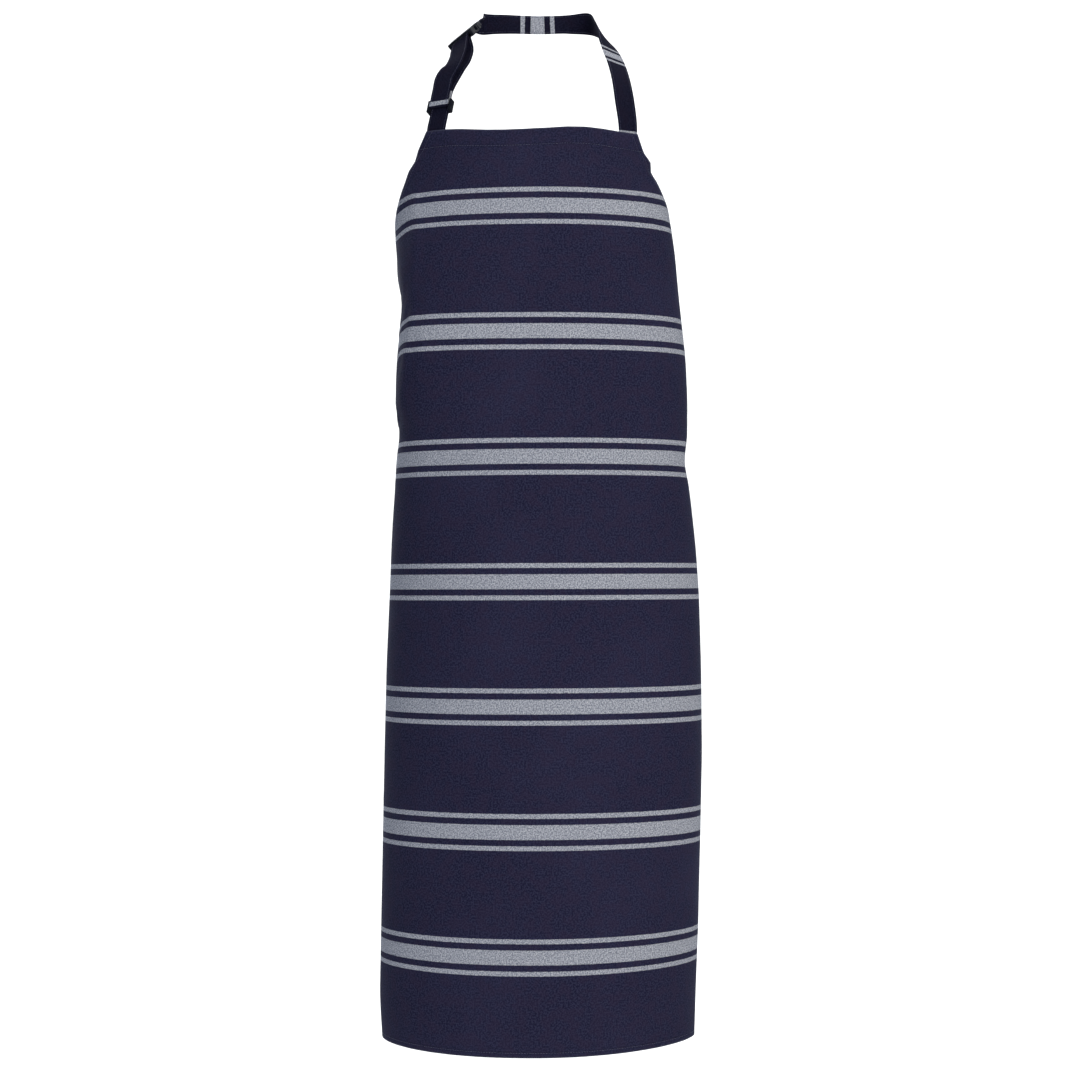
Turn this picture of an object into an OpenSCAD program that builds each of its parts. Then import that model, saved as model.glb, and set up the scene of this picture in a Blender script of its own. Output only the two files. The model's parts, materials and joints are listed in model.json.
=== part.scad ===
// Bib apron of striped woven cloth, in the shape it takes when worn and tied.
// Millimetres, +Z up, the bib faces -Y. The origin is the middle of the neck strap, where it
// lies on the back of the neck. Left and right are those of somebody facing the bib.

/* [Panel] */
// Length of the panel from the bib's top edge to the bottom edge
panel_l = 1025; // [940:5:1080]
// Width of the bib's top edge, along the cloth
bib_w = 250; // [240:1:262]
// Width of the skirt, along the cloth
skirt_w = 740; // [680:5:760]
// Drop from the bib's top edge to the two waist corners
waist_drop = 345; // [320:5:380]
// Thickness of the panel's cloth
cloth_t = 1.2; // [0.9:0.1:1.5]
// Depth of the folded hem along the bib's top edge
top_hem_w = 20; // [16:1:24]
// Width of the folded hems on the armholes, sides and bottom
edge_hem_w = 8; // [6:0.5:11]
// Thickness of a folded hem
hem_t = 1; // [0.8:0.1:1.4]

/* [Wearer] */
// Half width of the chest that the bib lies round
chest_w = 157; // [152:1:162]
// Half depth of the chest
chest_d = 88; // [84:1:94]
// Half width of the hips that the skirt hangs round
hip_w = 180; // [172:1:190]
// Half depth of the hips
hip_d = 110; // [102:1:118]

/* [Straps] */
// Width of the neck strap
strap_w = 25; // [22:0.5:25]
// Thickness of the neck strap
strap_t = 1.4; // [1.2:0.1:1.4]
// Width of the waist ties
tie_w = 25; // [20:1:28]
// Thickness of the waist ties
tie_t = 1.4; // [1:0.1:1.8]
// Length of each tie that hangs below the knot
tie_tail_l = 500; // [300:10:560]

/* [Clip and slider] */
// Outside width of the clip
clip_w = 33; // [32:0.5:36]
// Thickness of the clip's socket half
clip_t = 9; // [8.6:0.1:10]
// How far the clip's plug half draws out of the socket
clip_travel = 17; // [10:1:17]
// Outside width of the slider
slider_w = 30; // [29.5:0.5:33]
// How far the slider moves each way along the strap
slider_travel = 10; // [4:1:10]

/* [Hidden] */
gap = 0.3;
bib_z = -160;
front_y = -200;
bib_shift = -9;
waist = waist_drop;
hem_off = cloth_t + gap;
tie_off = hem_off + hem_t + gap;
foot_gap = 0.9;
strap_off = tie_off + foot_gap + strap_t/2;

// The clip: centre, way along it towards the neck, and way across it
clip_c = [-86, -92, -36];
clip_a = unit([0.16, 0.896, 0.415]);
clip_x = square_to([0.77, -0.376, 0.514], clip_a);
clip_z = cross(clip_x, clip_a);
bar_r = 1.3;
loop_r = bar_r + gap + strap_t/2;
socket_bar = [-19, -1.2];
plug_bar = 25;
strap_start = plug_bar + loop_r + clip_travel + 4;
loop_end = strap_start + 8;
prong_root = 9.4;
prong_tip = -8;
prong_x = 12.1;

// The slider: a straight run of strap above the bib's left corner
fold_t = 1;
fold_bar_r = 1.1;
fold_r = fold_bar_r + 0.2 + fold_t/2;
fold_off = strap_t/2 + gap + fold_t/2 + fold_r;
fold_l = slider_travel + 14;
strap_s = bib_w/2 - strap_w/2;
left_foot = on_body(-strap_s, 0, strap_off);
right_foot = on_body(strap_s, 0, strap_off);
run_a = unit([0.16, 0.33, 0.93]);
run_x = square_to(across(-strap_s, 0), run_a);
run_z = cross(run_x, run_a);
slider_c = left_foot + 29*run_a;

columns = 14;
arm_rows = 9;
skirt_rows = 7;
rows = arm_rows + skirt_rows + 2;
waist_row = arm_rows + 1;
steps = 10;

navy = [0.16, 0.16, 0.25];
dark_navy = [0.12, 0.12, 0.2];
black = [0.08, 0.08, 0.1];

function unit(v) = v/norm(v);
function square_to(v, d) = unit(v - (v*d)*d);
function smooth_step(x) = let(c = min(1, max(0, x))) c*c*(3 - 2*c);

// Half width, half depth and sideways shift of the body at distance v below the bib's top edge
function widen(v) = smooth_step((v - 200)/400);
function half_w(v) = chest_w + (hip_w - chest_w)*widen(v);
function half_d(v) = chest_d + (hip_d - chest_d)*widen(v);
function shift(v) = bib_shift*(1 - smooth_step(v/200));

// Half width of the flat cloth at distance v
function cloth_half(v) = bib_w/2 + (skirt_w - bib_w)/2*min(1, v/waist);

// Length along the body's oval, paired with the angle it reaches
function oval_table(a, b) =
    [for (i = 0, t = 0, s = 0; i <= 60; i = i + 1, t = i*3,
        s = s + 3*PI/180*norm([a*cos(t - 1.5), b*sin(t - 1.5)])) [s, t]];
function oval_angle(s, v) =
    sign(s)*lookup(abs(s), oval_table(half_w(v), half_d(v)));

// The oval's point and its outward way at an angle; the cloth's point at s across and v down
function oval_point(t, v, off) =
    let(a = half_w(v), b = half_d(v), n = unit([b*sin(t), -a*cos(t)]))
    [
        shift(v) + a*sin(t) - off*n[0],
        front_y + b - b*cos(t) - off*n[1],
        bib_z - v
    ];
function on_body(s, v, off) = oval_point(oval_angle(s, v), v, off);
function across(s, v) =
    let(t = oval_angle(s, v)) unit([half_w(v)*cos(t), half_d(v)*sin(t), 0]);
function oval_half(v) = let(tab = oval_table(half_w(v), half_d(v))) tab[60][0];

// The panel's grid: its hems' inner lines are grid lines, so hems lie along the same facets
function column_s(j, v) =
    let(inner = cloth_half(v) - edge_hem_w, full = cloth_half(v))
    j == 0 ? -full : j == 2*columns + 2 ? full : inner*(j - 1 - columns)/columns;
function row_v(i) =
    i == 0 ? 0
    : i <= waist_row ? top_hem_w + (waist - top_hem_w)*(i - 1)/arm_rows
    : i < rows ? waist + (panel_l - edge_hem_w - waist)*(i - waist_row)/skirt_rows
    : panel_l;
row_list = [for (i = [0:rows]) row_v(i)];

// A closed solid between two grids of points with the same number of rows and columns
module slab(outer, inner) {
    nr = len(outer);
    nc = len(outer[0]);
    pts = concat([for (r = outer) each r], [for (r = inner) each r]);
    m = nr*nc;
    rim = concat(
        [for (j = [0:nc - 1]) j],
        [for (i = [1:nr - 1]) i*nc + nc - 1],
        [for (j = [nc - 2:-1:0]) (nr - 1)*nc + j],
        [for (i = [nr - 2:-1:1]) i*nc]
    );
    k = len(rim);
    polyhedron(
        points = pts,
        faces = concat(
            [for (i = [0:nr - 2], j = [0:nc - 2]) [i*nc + j, i*nc + j + 1, (i + 1)*nc + j]],
            [for (i = [0:nr - 2], j = [0:nc - 2])
                [i*nc + j + 1, (i + 1)*nc + j + 1, (i + 1)*nc + j]],
            [for (i = [0:nr - 2], j = [0:nc - 2])
                [m + i*nc + j, m + (i + 1)*nc + j, m + i*nc + j + 1]],
            [for (i = [0:nr - 2], j = [0:nc - 2])
                [m + i*nc + j + 1, m + (i + 1)*nc + j, m + (i + 1)*nc + j + 1]],
            [for (q = [0:k - 1]) [rim[q], m + rim[q], rim[(q + 1)%k]]],
            [for (q = [0:k - 1]) [rim[(q + 1)%k], m + rim[q], m + rim[(q + 1)%k]]]
        ),
        convexity = 10
    );
}

// A piece of cloth on the body between two rows, from column j0 to column j1
module patch(i0, i1, j0, j1, off, thick, trim) {
    function place(i, j, o) =
        let(s = column_s(j, row_list[i]) + (j == j0 ? trim : j == j1 ? -trim : 0))
        on_body(s, row_list[i], o);
    slab(
        [for (i = [i0:i1]) [for (j = [j0:j1]) place(i, j, off)]],
        [for (i = [i0:i1]) [for (j = [j0:j1]) place(i, j, off + thick)]]
    );
}

// Points of a smooth line through p, whose first and last entries only set its direction
function curve(p, n) =
    [for (i = [1:len(p) - 3], k = [0:n - 1])
        let(t = k/n, a = p[i - 1], b = p[i], c = p[i + 1], d = p[i + 2])
        0.5*(2*b + (c - a)*t + (2*a - 5*b + 4*c - d)*t*t + (3*b - a - 3*c + d)*t*t*t)];

// A flat strap along a route; each entry of the route holds a point and its way across
module ribbon(route, w, t) {
    n = len(route);
    p = [for (r = route) [r[0], r[1], r[2]]];
    x = [for (r = route) [r[3], r[4], r[5]]];
    d = [for (i = [0:n - 1]) unit(p[min(n - 1, i + 1)] - p[max(0, i - 1)])];
    u = [for (i = [0:n - 1]) square_to(x[i], d[i])];
    z = [for (i = [0:n - 1]) cross(u[i], d[i])];
    slab(
        [for (i = [0:n - 1]) [p[i] - u[i]*w/2 + z[i]*t/2, p[i] + u[i]*w/2 + z[i]*t/2]],
        [for (i = [0:n - 1]) [p[i] - u[i]*w/2 - z[i]*t/2, p[i] + u[i]*w/2 - z[i]*t/2]]
    );
}

function at(p, x) = concat(p, x);
function clip_point(y, z) = clip_c + y*clip_a + z*clip_z;
function run_point(y, z) = slider_c + y*run_a + z*run_z;

module on_clip() {
    multmatrix([
        [clip_x[0], clip_a[0], clip_z[0], clip_c[0]],
        [clip_x[1], clip_a[1], clip_z[1], clip_c[1]],
        [clip_x[2], clip_a[2], clip_z[2], clip_c[2]],
        [0, 0, 0, 1]
    ])
        children();
}

module on_run() {
    multmatrix([
        [run_x[0], run_a[0], run_z[0], slider_c[0]],
        [run_x[1], run_a[1], run_z[1], slider_c[1]],
        [run_x[2], run_a[2], run_z[2], slider_c[2]],
        [0, 0, 0, 1]
    ])
        children();
}

module block(x0, x1, y0, y1, z0, z1) {
    translate([x0, y0, z0])
        cube([x1 - x0, y1 - y0, z1 - z0]);
}

// A block whose corners are rounded as seen along Z
module rounded_block(x0, x1, y0, y1, z0, z1, r) {
    block(x0 + r, x1 - r, y0, y1, z0, z1);
    block(x0, x1, y0 + r, y1 - r, z0, z1);
    for (x = [x0 + r, x1 - r], y = [y0 + r, y1 - r])
        translate([x, y, z0])
            cylinder(h = z1 - z0, r = r, $fn = 32);
}

module cross_bar(half, y, z, r) {
    translate([-half, y, z])
        rotate([0, 90, 0])
            cylinder(h = 2*half, r = r, $fn = 32);
}

// A strap end doubled round a bar: seen along the bar it is a U that opens towards +Y
module doubled_end(w, r, t, l) {
    for (s = [-1, 1])
        block(-w/2, w/2, 0, l, s*r - t/2, s*r + t/2);
    rotate([0, 90, 0])
        translate([0, 0, -w/2])
            difference() {
                cylinder(h = w, r = r + t/2, $fn = 48);
                translate([0, 0, -1])
                    cylinder(h = w + 2, r = r - t/2, $fn = 48);
                translate([-r - t, 0, -1])
                    cube([2*r + 2*t, r + t, w + 2]);
            }
}

module body_panel() {
    color(navy)
        patch(0, rows, 0, 2*columns + 2, 0, cloth_t, 0);
}

module top_hem() {
    color(navy)
        patch(0, 1, 1, 2*columns + 1, hem_off, hem_t, 0.4);
}

module left_armhole_hem() {
    color(navy)
        patch(0, waist_row, 0, 1, hem_off, hem_t, 0);
}

module right_armhole_hem() {
    color(navy)
        patch(0, waist_row, 2*columns + 1, 2*columns + 2, hem_off, hem_t, 0);
}

module left_side_hem() {
    color(navy)
        translate([0, 0, -gap])
            patch(waist_row, rows, 0, 1, hem_off, hem_t, 0);
}

module right_side_hem() {
    color(navy)
        translate([0, 0, -gap])
            patch(waist_row, rows, 2*columns + 1, 2*columns + 2, hem_off, hem_t, 0);
}

module bottom_hem() {
    color(navy)
        patch(rows - 1, rows, 1, 2*columns + 1, hem_off, hem_t, 0.4);
}

module neck_strap() {
    outer = [-clip_x[0], -clip_x[1], -clip_x[2]];
    foot_x = across(strap_s, 0);
    color(dark_navy)
        ribbon(
            concat(
                [at(on_body(strap_s, top_hem_w - 2, strap_off), across(strap_s, top_hem_w - 2))],
                curve([
                    at(right_foot - [0, 0, 20], foot_x),
                    at(right_foot, foot_x),
                    at([94, -165, -127], [0.9, 0.4, -0.08]),
                    at([92, -155, -106], [0.88, 0.42, -0.14]),
                    at([87, -132, -80], [0.83, 0.42, -0.28]),
                    at([79, -91, -48], [0.7, 0.5, -0.42]),
                    at([69, -45, -18], [0.42, 0.38, -0.8]),
                    at([58, -14, -2], [0.1, 0.1, -1]),
                    at([36, -2, 0.5], [0, -0.25, -0.95]),
                    at([0, 0, 0], [0, -0.3, -0.95]),
                    at([-38, -2, 0.5], [-0.1, -0.25, -0.95]),
                    at([-63, -9, -1], [-0.3, 0, -0.9]),
                    at(clip_point(79, 0), outer),
                    at(clip_point(71, 0), outer),
                    at(clip_point(60, 0), outer)
                ], 3),
                [at(clip_point(71, 0), outer), at(clip_point(strap_start, 0), outer)]
            ),
            strap_w, strap_t
        );
}

module plug_strap_end() {
    color(dark_navy)
        on_clip()
            translate([0, plug_bar, 0])
                doubled_end(strap_w, loop_r, strap_t, loop_end - plug_bar);
}

// Sewn end in front, up to the clip, round the socket's bar, down behind and through the slider
module adjusting_strap() {
    front = fold_off;
    turn = [for (k = [0:steps])
        let(q = 180*k/steps)
        at(clip_point(socket_bar[0] + loop_r*sin(q), socket_bar[1] + loop_r*cos(q)), clip_x)];
    color(dark_navy)
        ribbon(
            concat(
                [at(run_point(slider_travel + 2, front), run_x)],
                curve([
                    at(run_point(30, front), run_x),
                    at(run_point(36, front), run_x),
                    at(run_point(46, front) + [3, 4, 0], run_x),
                    at([-93, -147, -74], [0.83, -0.44, 0.2]),
                    at(clip_point(-34, 0.5), [0.79, -0.4, 0.4]),
                    at(clip_point(-25, 1.1), clip_x),
                    at(clip_point(-19, 1.1), clip_x)
                ], 4),
                turn,
                curve([
                    at(clip_point(-19, socket_bar[1] - loop_r), clip_x),
                    at(clip_point(-27, socket_bar[1] - loop_r), clip_x),
                    at([-87, -121, -62], [0.8, -0.4, 0.3]),
                    at([-90, -135, -79], [0.84, -0.42, 0.1]),
                    at([-98, -146, -93], [0.86, -0.46, 0]),
                    at(run_point(24, 0), run_x),
                    at(run_point(10, 0), run_x)
                ], 4),
                [
                    at(run_point(24, 0), run_x),
                    at(left_foot, run_x),
                    at(on_body(-strap_s, top_hem_w - 2, strap_off), across(-strap_s, top_hem_w - 2))
                ]
            ),
            strap_w, strap_t
        );
}

module slider_strap_end() {
    color(dark_navy)
        on_run()
            translate([0, 0, fold_off])
                doubled_end(strap_w, fold_r, fold_t, fold_l);
}

module clip_socket() {
    h = clip_w/2;
    t = clip_t/2;
    color(black)
        on_clip() {
            difference() {
                rounded_block(-h, h, -15, 8, -t, t, 2);
                block(-12.4, 12.4, -12, 9, -2.6, 2.6);
                block(-h - 1, h + 1, -8.5, 3, -2.6, 2.6);
            }
            for (s = [-1, 1])
                block(s*(h - 1.5) - 1.5, s*(h - 1.5) + 1.5, -26, -14, -t, t);
            rounded_block(-h, h, -26.5, -23.5, 2.2, t, 1);
            cross_bar(h - 2, socket_bar[0], socket_bar[1], bar_r);
        }
}

module clip_plug() {
    h = clip_w/2;
    color(black)
        on_clip() {
            difference() {
                rounded_block(-h, h, 8.4, 21, -4, 4, 2);
                for (s = [-1, 1])
                    block(s*11.2 - 2.2, s*11.2 + 2.2, 8, 11, -2.7, 2.7);
            }
            block(-3, 3, -4, 9, -1.5, 1.5);
            for (s = [-1, 1])
                block(s*(h - 1.5) - 1.5, s*(h - 1.5) + 1.5, 20, 26.5, -2.5, 2.5);
            cross_bar(h - 2, plug_bar, 0, bar_r);
        }
}

// One springy prong, drawn on the +X side, with the barb that catches in the socket's window
module prong() {
    translate([0, 0, -2.2])
        linear_extrude(height = 4.4)
            polygon([
                [prong_x - 2.4, prong_root],
                [prong_x - 2.4, prong_tip + 2],
                [prong_x - 1.4, prong_tip],
                [prong_x, prong_tip],
                [prong_x + 1.2, prong_tip + 2.6],
                [prong_x + 1.2, prong_tip + 5.5],
                [prong_x, prong_tip + 5.5],
                [prong_x, prong_root]
            ]);
    translate([prong_x - 1.2, prong_root, -2.2])
        cylinder(h = 4.4, r = 1.2, $fn = 32);
}

module left_prong() {
    color(black)
        on_clip()
            mirror([1, 0, 0])
                prong();
}

module right_prong() {
    color(black)
        on_clip()
            prong();
}

module strap_slider() {
    h = slider_w/2;
    back = -strap_t/2 - gap;
    color(black)
        on_run() {
            for (s = [-1, 1])
                rounded_block(
                    s*(h - 1.1) - 1.1, s*(h - 1.1) + 1.1, -7.5, 7.5,
                    back - 1.8, fold_off + fold_bar_r, 1
                );
            for (s = [-1, 1])
                block(-h + 1, h - 1, s*6.2 - 1.3, s*6.2 + 1.3, back - 1.8, back);
            cross_bar(h - 1, 0, fold_off, fold_bar_r);
        }
}

// Centre of the knot behind the wearer's waist
knot_v = waist + tie_w/2 + 2;
knot_c = behind(0, knot_v, 2);
knot_r = 13;

// A point behind the wearer: x across, v below the bib's top edge, out from the cloth
function behind(x, v, out) = [shift(v) + x, front_y + 2*half_d(v) + out, bib_z - v];

module waist_tie(side) {
    s0 = cloth_half(waist) - 22;
    s1 = oval_half(knot_v) - knot_r - 1;
    color(dark_navy)
        ribbon(
            [for (k = [0:steps])
                let(s = side*(s0 + (s1 - s0)*k/steps), off = tie_off + tie_t/2 + 2.2)
                at(on_body(s, knot_v, off), [0, 0, -1])],
            tie_w, tie_t
        );
}

module left_waist_tie() {
    waist_tie(-1);
}

module right_waist_tie() {
    waist_tie(1);
}

module waist_knot() {
    color(dark_navy)
        translate(knot_c)
            scale([1, 0.7, 1.05])
                sphere(r = knot_r, $fn = 32);
}

module bow_loop(side) {
    c = knot_c;
    turn_x = 78;
    color(dark_navy)
        ribbon(
            [for (k = [0:2*steps])
                let(
                    q = k/(2*steps),
                    x = 14.5 + (turn_x - 14.5)*sin(180*q),
                    y = 3 - 10*cos(180*q)*sin(180*q) - 3.4*cos(180*q) + 4*sin(180*q),
                    z = 2 - 0.3*(x - 14)
                )
                at(c + [side*x, y, z], [side*0.29, 0, 0.96])],
            tie_w, tie_t
        );
}

module left_bow_loop() {
    bow_loop(-1);
}

module right_bow_loop() {
    bow_loop(1);
}

module tie_tail(side) {
    drops = [for (k = [0:steps]) 15 + (tie_tail_l - 15)*pow(k/steps, 1.5)];
    color(dark_navy)
        ribbon(
            [for (d = drops)
                let(x = side*(13 + 19*smooth_step(d/110)), tilt = 0.45*(1 - smooth_step(d/90)))
                at(behind(x, knot_v + d, 6), [1, 0, side*tilt])],
            tie_w, tie_t
        );
}

module left_tie_tail() {
    tie_tail(-1);
}

module right_tie_tail() {
    tie_tail(1);
}

body_panel();
top_hem();
left_armhole_hem();
right_armhole_hem();
left_side_hem();
right_side_hem();
bottom_hem();
neck_strap();
plug_strap_end();
adjusting_strap();
slider_strap_end();
clip_socket();
clip_plug();
left_prong();
right_prong();
strap_slider();
left_waist_tie();
right_waist_tie();
waist_knot();
left_bow_loop();
right_bow_loop();
left_tie_tail();
right_tie_tail();
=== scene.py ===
import bmesh
import bpy
import json
import math
import numpy as np
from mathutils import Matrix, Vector


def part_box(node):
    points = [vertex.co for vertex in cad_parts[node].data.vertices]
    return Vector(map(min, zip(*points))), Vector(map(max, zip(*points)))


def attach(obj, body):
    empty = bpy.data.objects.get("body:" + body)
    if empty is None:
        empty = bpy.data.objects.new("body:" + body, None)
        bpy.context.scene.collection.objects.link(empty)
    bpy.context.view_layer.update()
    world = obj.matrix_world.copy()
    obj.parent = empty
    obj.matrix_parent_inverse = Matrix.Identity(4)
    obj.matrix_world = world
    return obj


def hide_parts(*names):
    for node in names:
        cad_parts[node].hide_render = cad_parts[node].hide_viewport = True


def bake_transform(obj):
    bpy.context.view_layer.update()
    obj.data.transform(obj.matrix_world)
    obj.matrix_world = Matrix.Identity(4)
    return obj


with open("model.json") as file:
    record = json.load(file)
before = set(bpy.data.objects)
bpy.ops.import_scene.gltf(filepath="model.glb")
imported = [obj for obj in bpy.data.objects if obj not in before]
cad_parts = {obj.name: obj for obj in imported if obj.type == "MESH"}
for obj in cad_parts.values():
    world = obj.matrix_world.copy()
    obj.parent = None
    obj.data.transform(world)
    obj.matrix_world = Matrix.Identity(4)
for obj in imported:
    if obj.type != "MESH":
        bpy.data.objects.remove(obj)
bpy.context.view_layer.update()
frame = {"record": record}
bpy.ops.object.select_all(action="DESELECT")

# Apron panel: one piece of navy twill with woven pale grey stripe groups, cut as a bib on a skirt.
# It lies round the chest and hangs round the hips, open at the back.
BIB_W = 0.250
SKIRT_W = 0.740
WAIST_DROP = 0.345
PANEL_L = 1.025
TOP_HEM = 0.020
TOP_ROW_IN = 0.0185
EDGE_HEM = 0.008
ARM_ROW_IN = 0.0065
CLOTH_T = 0.0006
panel_low, panel_high = (Vector(p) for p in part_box("body_panel"))
bib_z = panel_high.z
front_y = panel_low.y


def smooth_step(x):
    x = np.clip(x, 0, 1)
    return x * x * (3 - 2 * x)


def dent(v, at, width):
    return np.exp(-(((v - at) / width) ** 2))


# At distances below the bib's top edge in metres, the half widths of the wearer's body in millimetres,
# on the left and on the right
BODY = np.array(
    [
        (0.000, 160.0, 142.0),
        (0.020, 151.0, 125.0),
        (0.040, 156.5, 131.0),
        (0.055, 160.0, 137.0),
        (0.070, 166.5, 144.5),
        (0.085, 166.5, 146.0),
        (0.100, 165.5, 148.5),
        (0.130, 161.5, 153.0),
        (0.180, 155.0, 157.5),
        (0.250, 161.5, 165.5),
        (0.300, 163.5, 168.0),
        (0.330, 158.5, 167.5),
        (0.345, 161.0, 168.5),
        (0.360, 163.5, 163.0),
        (0.400, 166.0, 171.0),
        (0.460, 170.0, 178.0),
        (0.520, 172.5, 182.5),
        (0.600, 176.0, 185.0),
        (0.700, 178.5, 186.0),
        (0.800, 180.5, 184.0),
        (0.900, 182.5, 181.5),
        (0.980, 184.0, 178.5),
        (1.030, 181.0, 177.0),
    ]
)


def body_half_width(v, side):
    column = BODY[:, 1] if side < 0 else BODY[:, 2]
    spread = np.linspace(-0.012, 0.012, 5)
    return np.mean([np.interp(v + d, BODY[:, 0], column) for d in spread]) / 1000


def body_half_depth(v):
    return 0.088 + 0.022 * smooth_step((v - 0.2) / 0.4)


def section(v, side, inside=0.0):
    """Points of one side of the body at distance v down, from the front middle to the back middle."""
    t = np.radians(np.linspace(0, 180, 181))
    ridge = 1.1 * smooth_step((v - 0.09) / 0.06) * smooth_step((0.36 - v) / 0.08)
    knee = -0.3 * smooth_step((v - 0.75) / 0.25)
    bulge = 2 / (2.0 + (ridge if side < 0 else knee))
    w, d = body_half_width(v, side) - inside, body_half_depth(v) - inside
    x = side * w * np.sin(t) ** bulge
    y = -d * np.sign(np.cos(t)) * np.abs(np.cos(t)) ** bulge
    run = np.concatenate([[0], np.cumsum(np.hypot(np.diff(x), np.diff(y)))])
    return x, y + front_y + body_half_depth(v), run


def cloth_half(v):
    return BIB_W / 2 + (SKIRT_W - BIB_W) / 2 * min(1.0, v / WAIST_DROP)


BIB_ASKEW = 0.009
HANGING_STRETCH = 1.0018
HEM_LIFT = 0.0035

# How far the bib's top edge hangs below a straight line, at distances across it, in metres
TOP_SAG = np.array(
    [
        (-0.125, 0.0000),
        (-0.108, 0.0004),
        (-0.090, 0.0015),
        (-0.074, 0.0030),
        (-0.058, 0.0042),
        (-0.040, 0.0048),
        (-0.020, 0.0046),
        (0.009, 0.0034),
        (0.030, 0.0018),
        (0.050, 0.0014),
        (0.070, 0.0025),
        (0.090, 0.0041),
        (0.108, 0.0045),
        (0.125, 0.0042),
    ]
)


# A soft upright fold on the left of the chest: how far from the middle it lies, at distances down
FOLD_X = np.array([(0.121, 0.1400), (0.209, 0.1425), (0.242, 0.1510), (0.332, 0.1560)])
FOLD_HEIGHT = 0.0022
FOLD_DROP = 0.008


def row_points(v, across):
    """Where the cloth at the flat places (across, v) lies round the body."""
    out = np.zeros((len(across), 3))
    across = across - BIB_ASKEW * (1 - smooth_step(v / 0.2))
    for side in (-1, 1):
        x, y, run = section(v, side)
        pick = across < 0 if side < 0 else across >= 0
        s = np.abs(across[pick])
        out[pick, 0] = np.interp(s, run, x)
        out[pick, 1] = np.interp(s, run, y)
        if side < 0:
            crest = np.interp(np.interp(v, FOLD_X[:, 0], FOLD_X[:, 1]), -x[:91], run[:91])
            share = smooth_step((v - 0.03) / 0.06) * smooth_step((0.38 - v) / 0.08)
            behind = smooth_step((s - crest) / 0.04) * smooth_step((crest + 0.2 - s) / 0.12)
            out[pick, 1] -= FOLD_HEIGHT * share * dent(s, crest, 0.009)
            out[pick, 2] -= FOLD_DROP * share * behind
    sag = np.interp(across, TOP_SAG[:, 0], TOP_SAG[:, 1]) * smooth_step((0.07 - v) / 0.07)
    lift = HEM_LIFT * (np.abs(out[:, 0]) / 0.17) ** 3 * smooth_step((v - 0.85) / 0.17)
    out[:, 2] += bib_z - v * HANGING_STRETCH - sag + lift + 0.004 * out[:, 0]
    return out


ROWS_DOWN = 98
COLUMNS = 64
row_v = np.concatenate([[0, TOP_HEM / 2], np.linspace(TOP_HEM, PANEL_L - EDGE_HEM, ROWS_DOWN), [PANEL_L]])


def column_across(v):
    inner = cloth_half(v) - EDGE_HEM
    return np.concatenate([[-cloth_half(v)], np.linspace(-inner, inner, COLUMNS - 1), [cloth_half(v)]])


cut = np.array([np.stack([column_across(v), np.full(COLUMNS + 1, v)], axis=1) for v in row_v])
worn = np.array([row_points(v, column_across(v)) for v in row_v])


def grid_mesh(name, points):
    """An object of quads on a grid of points whose columns run to the right and rows down."""
    rows, columns = points.shape[:2]
    a = np.arange(rows * columns).reshape(rows, columns)
    faces = np.stack([a[:-1, :-1], a[1:, :-1], a[1:, 1:], a[:-1, 1:]], axis=-1).reshape(-1, 4)
    mesh = bpy.data.meshes.new(name)
    mesh.from_pydata(points.reshape(-1, 3).tolist(), [], faces.tolist())
    obj = bpy.data.objects.new(name, mesh)
    bpy.context.collection.objects.link(obj)
    return obj


def apply_modifiers(obj):
    bpy.ops.object.select_all(action="DESELECT")
    bpy.context.view_layer.objects.active = obj
    obj.select_set(True)
    for modifier in list(obj.modifiers):
        bpy.ops.object.modifier_apply(modifier=modifier.name)
    obj.select_set(False)


# The cloth settles on the body under its own weight, held by the neck strap and the waist ties.
# Only part of the settling is kept: little of its drop, and less of the rest in front than at the sides.
SETTLE_FRAMES = 36
DROP_KEPT = 0.15
FRONT_CAP = 0.004
SIDE_CAP = 0.018
torso_rows = []
for v in np.linspace(-0.05, PANEL_L + 0.1, 60):
    right, left = section(max(v, 0), 1, 0.0035), section(max(v, 0), -1, 0.0035)
    ring_x = np.concatenate([right[0][::5], left[0][::-5][:-1]])
    ring_y = np.concatenate([right[1][::5], left[1][::-5][:-1]])
    torso_rows.append(np.stack([ring_x, ring_y, np.full(len(ring_x), bib_z - v)], axis=1))
torso_grid = np.array(torso_rows)
torso_grid = np.concatenate([torso_grid, torso_grid[:, :1]], axis=1)
torso = grid_mesh("torso_form", torso_grid)
torso.modifiers.new("Collision", "COLLISION")
torso.collision.thickness_outer = 0.002
torso.collision.cloth_friction = 8

settling = grid_mesh("settling_cloth", worn)
held = settling.vertex_groups.new(name="held")
for i, v in enumerate(row_v):
    for j in range(COLUMNS + 1):
        s = abs(cut[i, j, 0])
        corner = math.hypot(s - SKIRT_W / 2, v - WAIST_DROP - 0.012)
        by_strap = 1.0 - 0.9 * float(smooth_step((v - 0.004) / 0.03))
        by_tie = 1.0 - float(smooth_step((corner - 0.012) / 0.02))
        light = 0.02
        held.add([i * (COLUMNS + 1) + j], max(by_strap, by_tie, light), "REPLACE")
cloth = settling.modifiers.new("Cloth", "CLOTH")
cloth.settings.quality = 8
cloth.settings.mass = 0.03
cloth.settings.tension_stiffness = 40
cloth.settings.compression_stiffness = 40
cloth.settings.shear_stiffness = 12
cloth.settings.bending_stiffness = 0.6
cloth.settings.air_damping = 2
cloth.settings.shrink_min = -0.004
cloth.settings.vertex_group_mass = "held"
cloth.settings.pin_stiffness = 1.0
cloth.collision_settings.distance_min = 0.002
cloth.collision_settings.use_self_collision = False
scene = bpy.context.scene
scene.frame_end = SETTLE_FRAMES
cloth.point_cache.frame_end = SETTLE_FRAMES
for f in range(1, SETTLE_FRAMES + 1):
    scene.frame_set(f)
apply_modifiers(settling)
settled = np.array([p.co for p in settling.data.vertices]).reshape(worn.shape)
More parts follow.
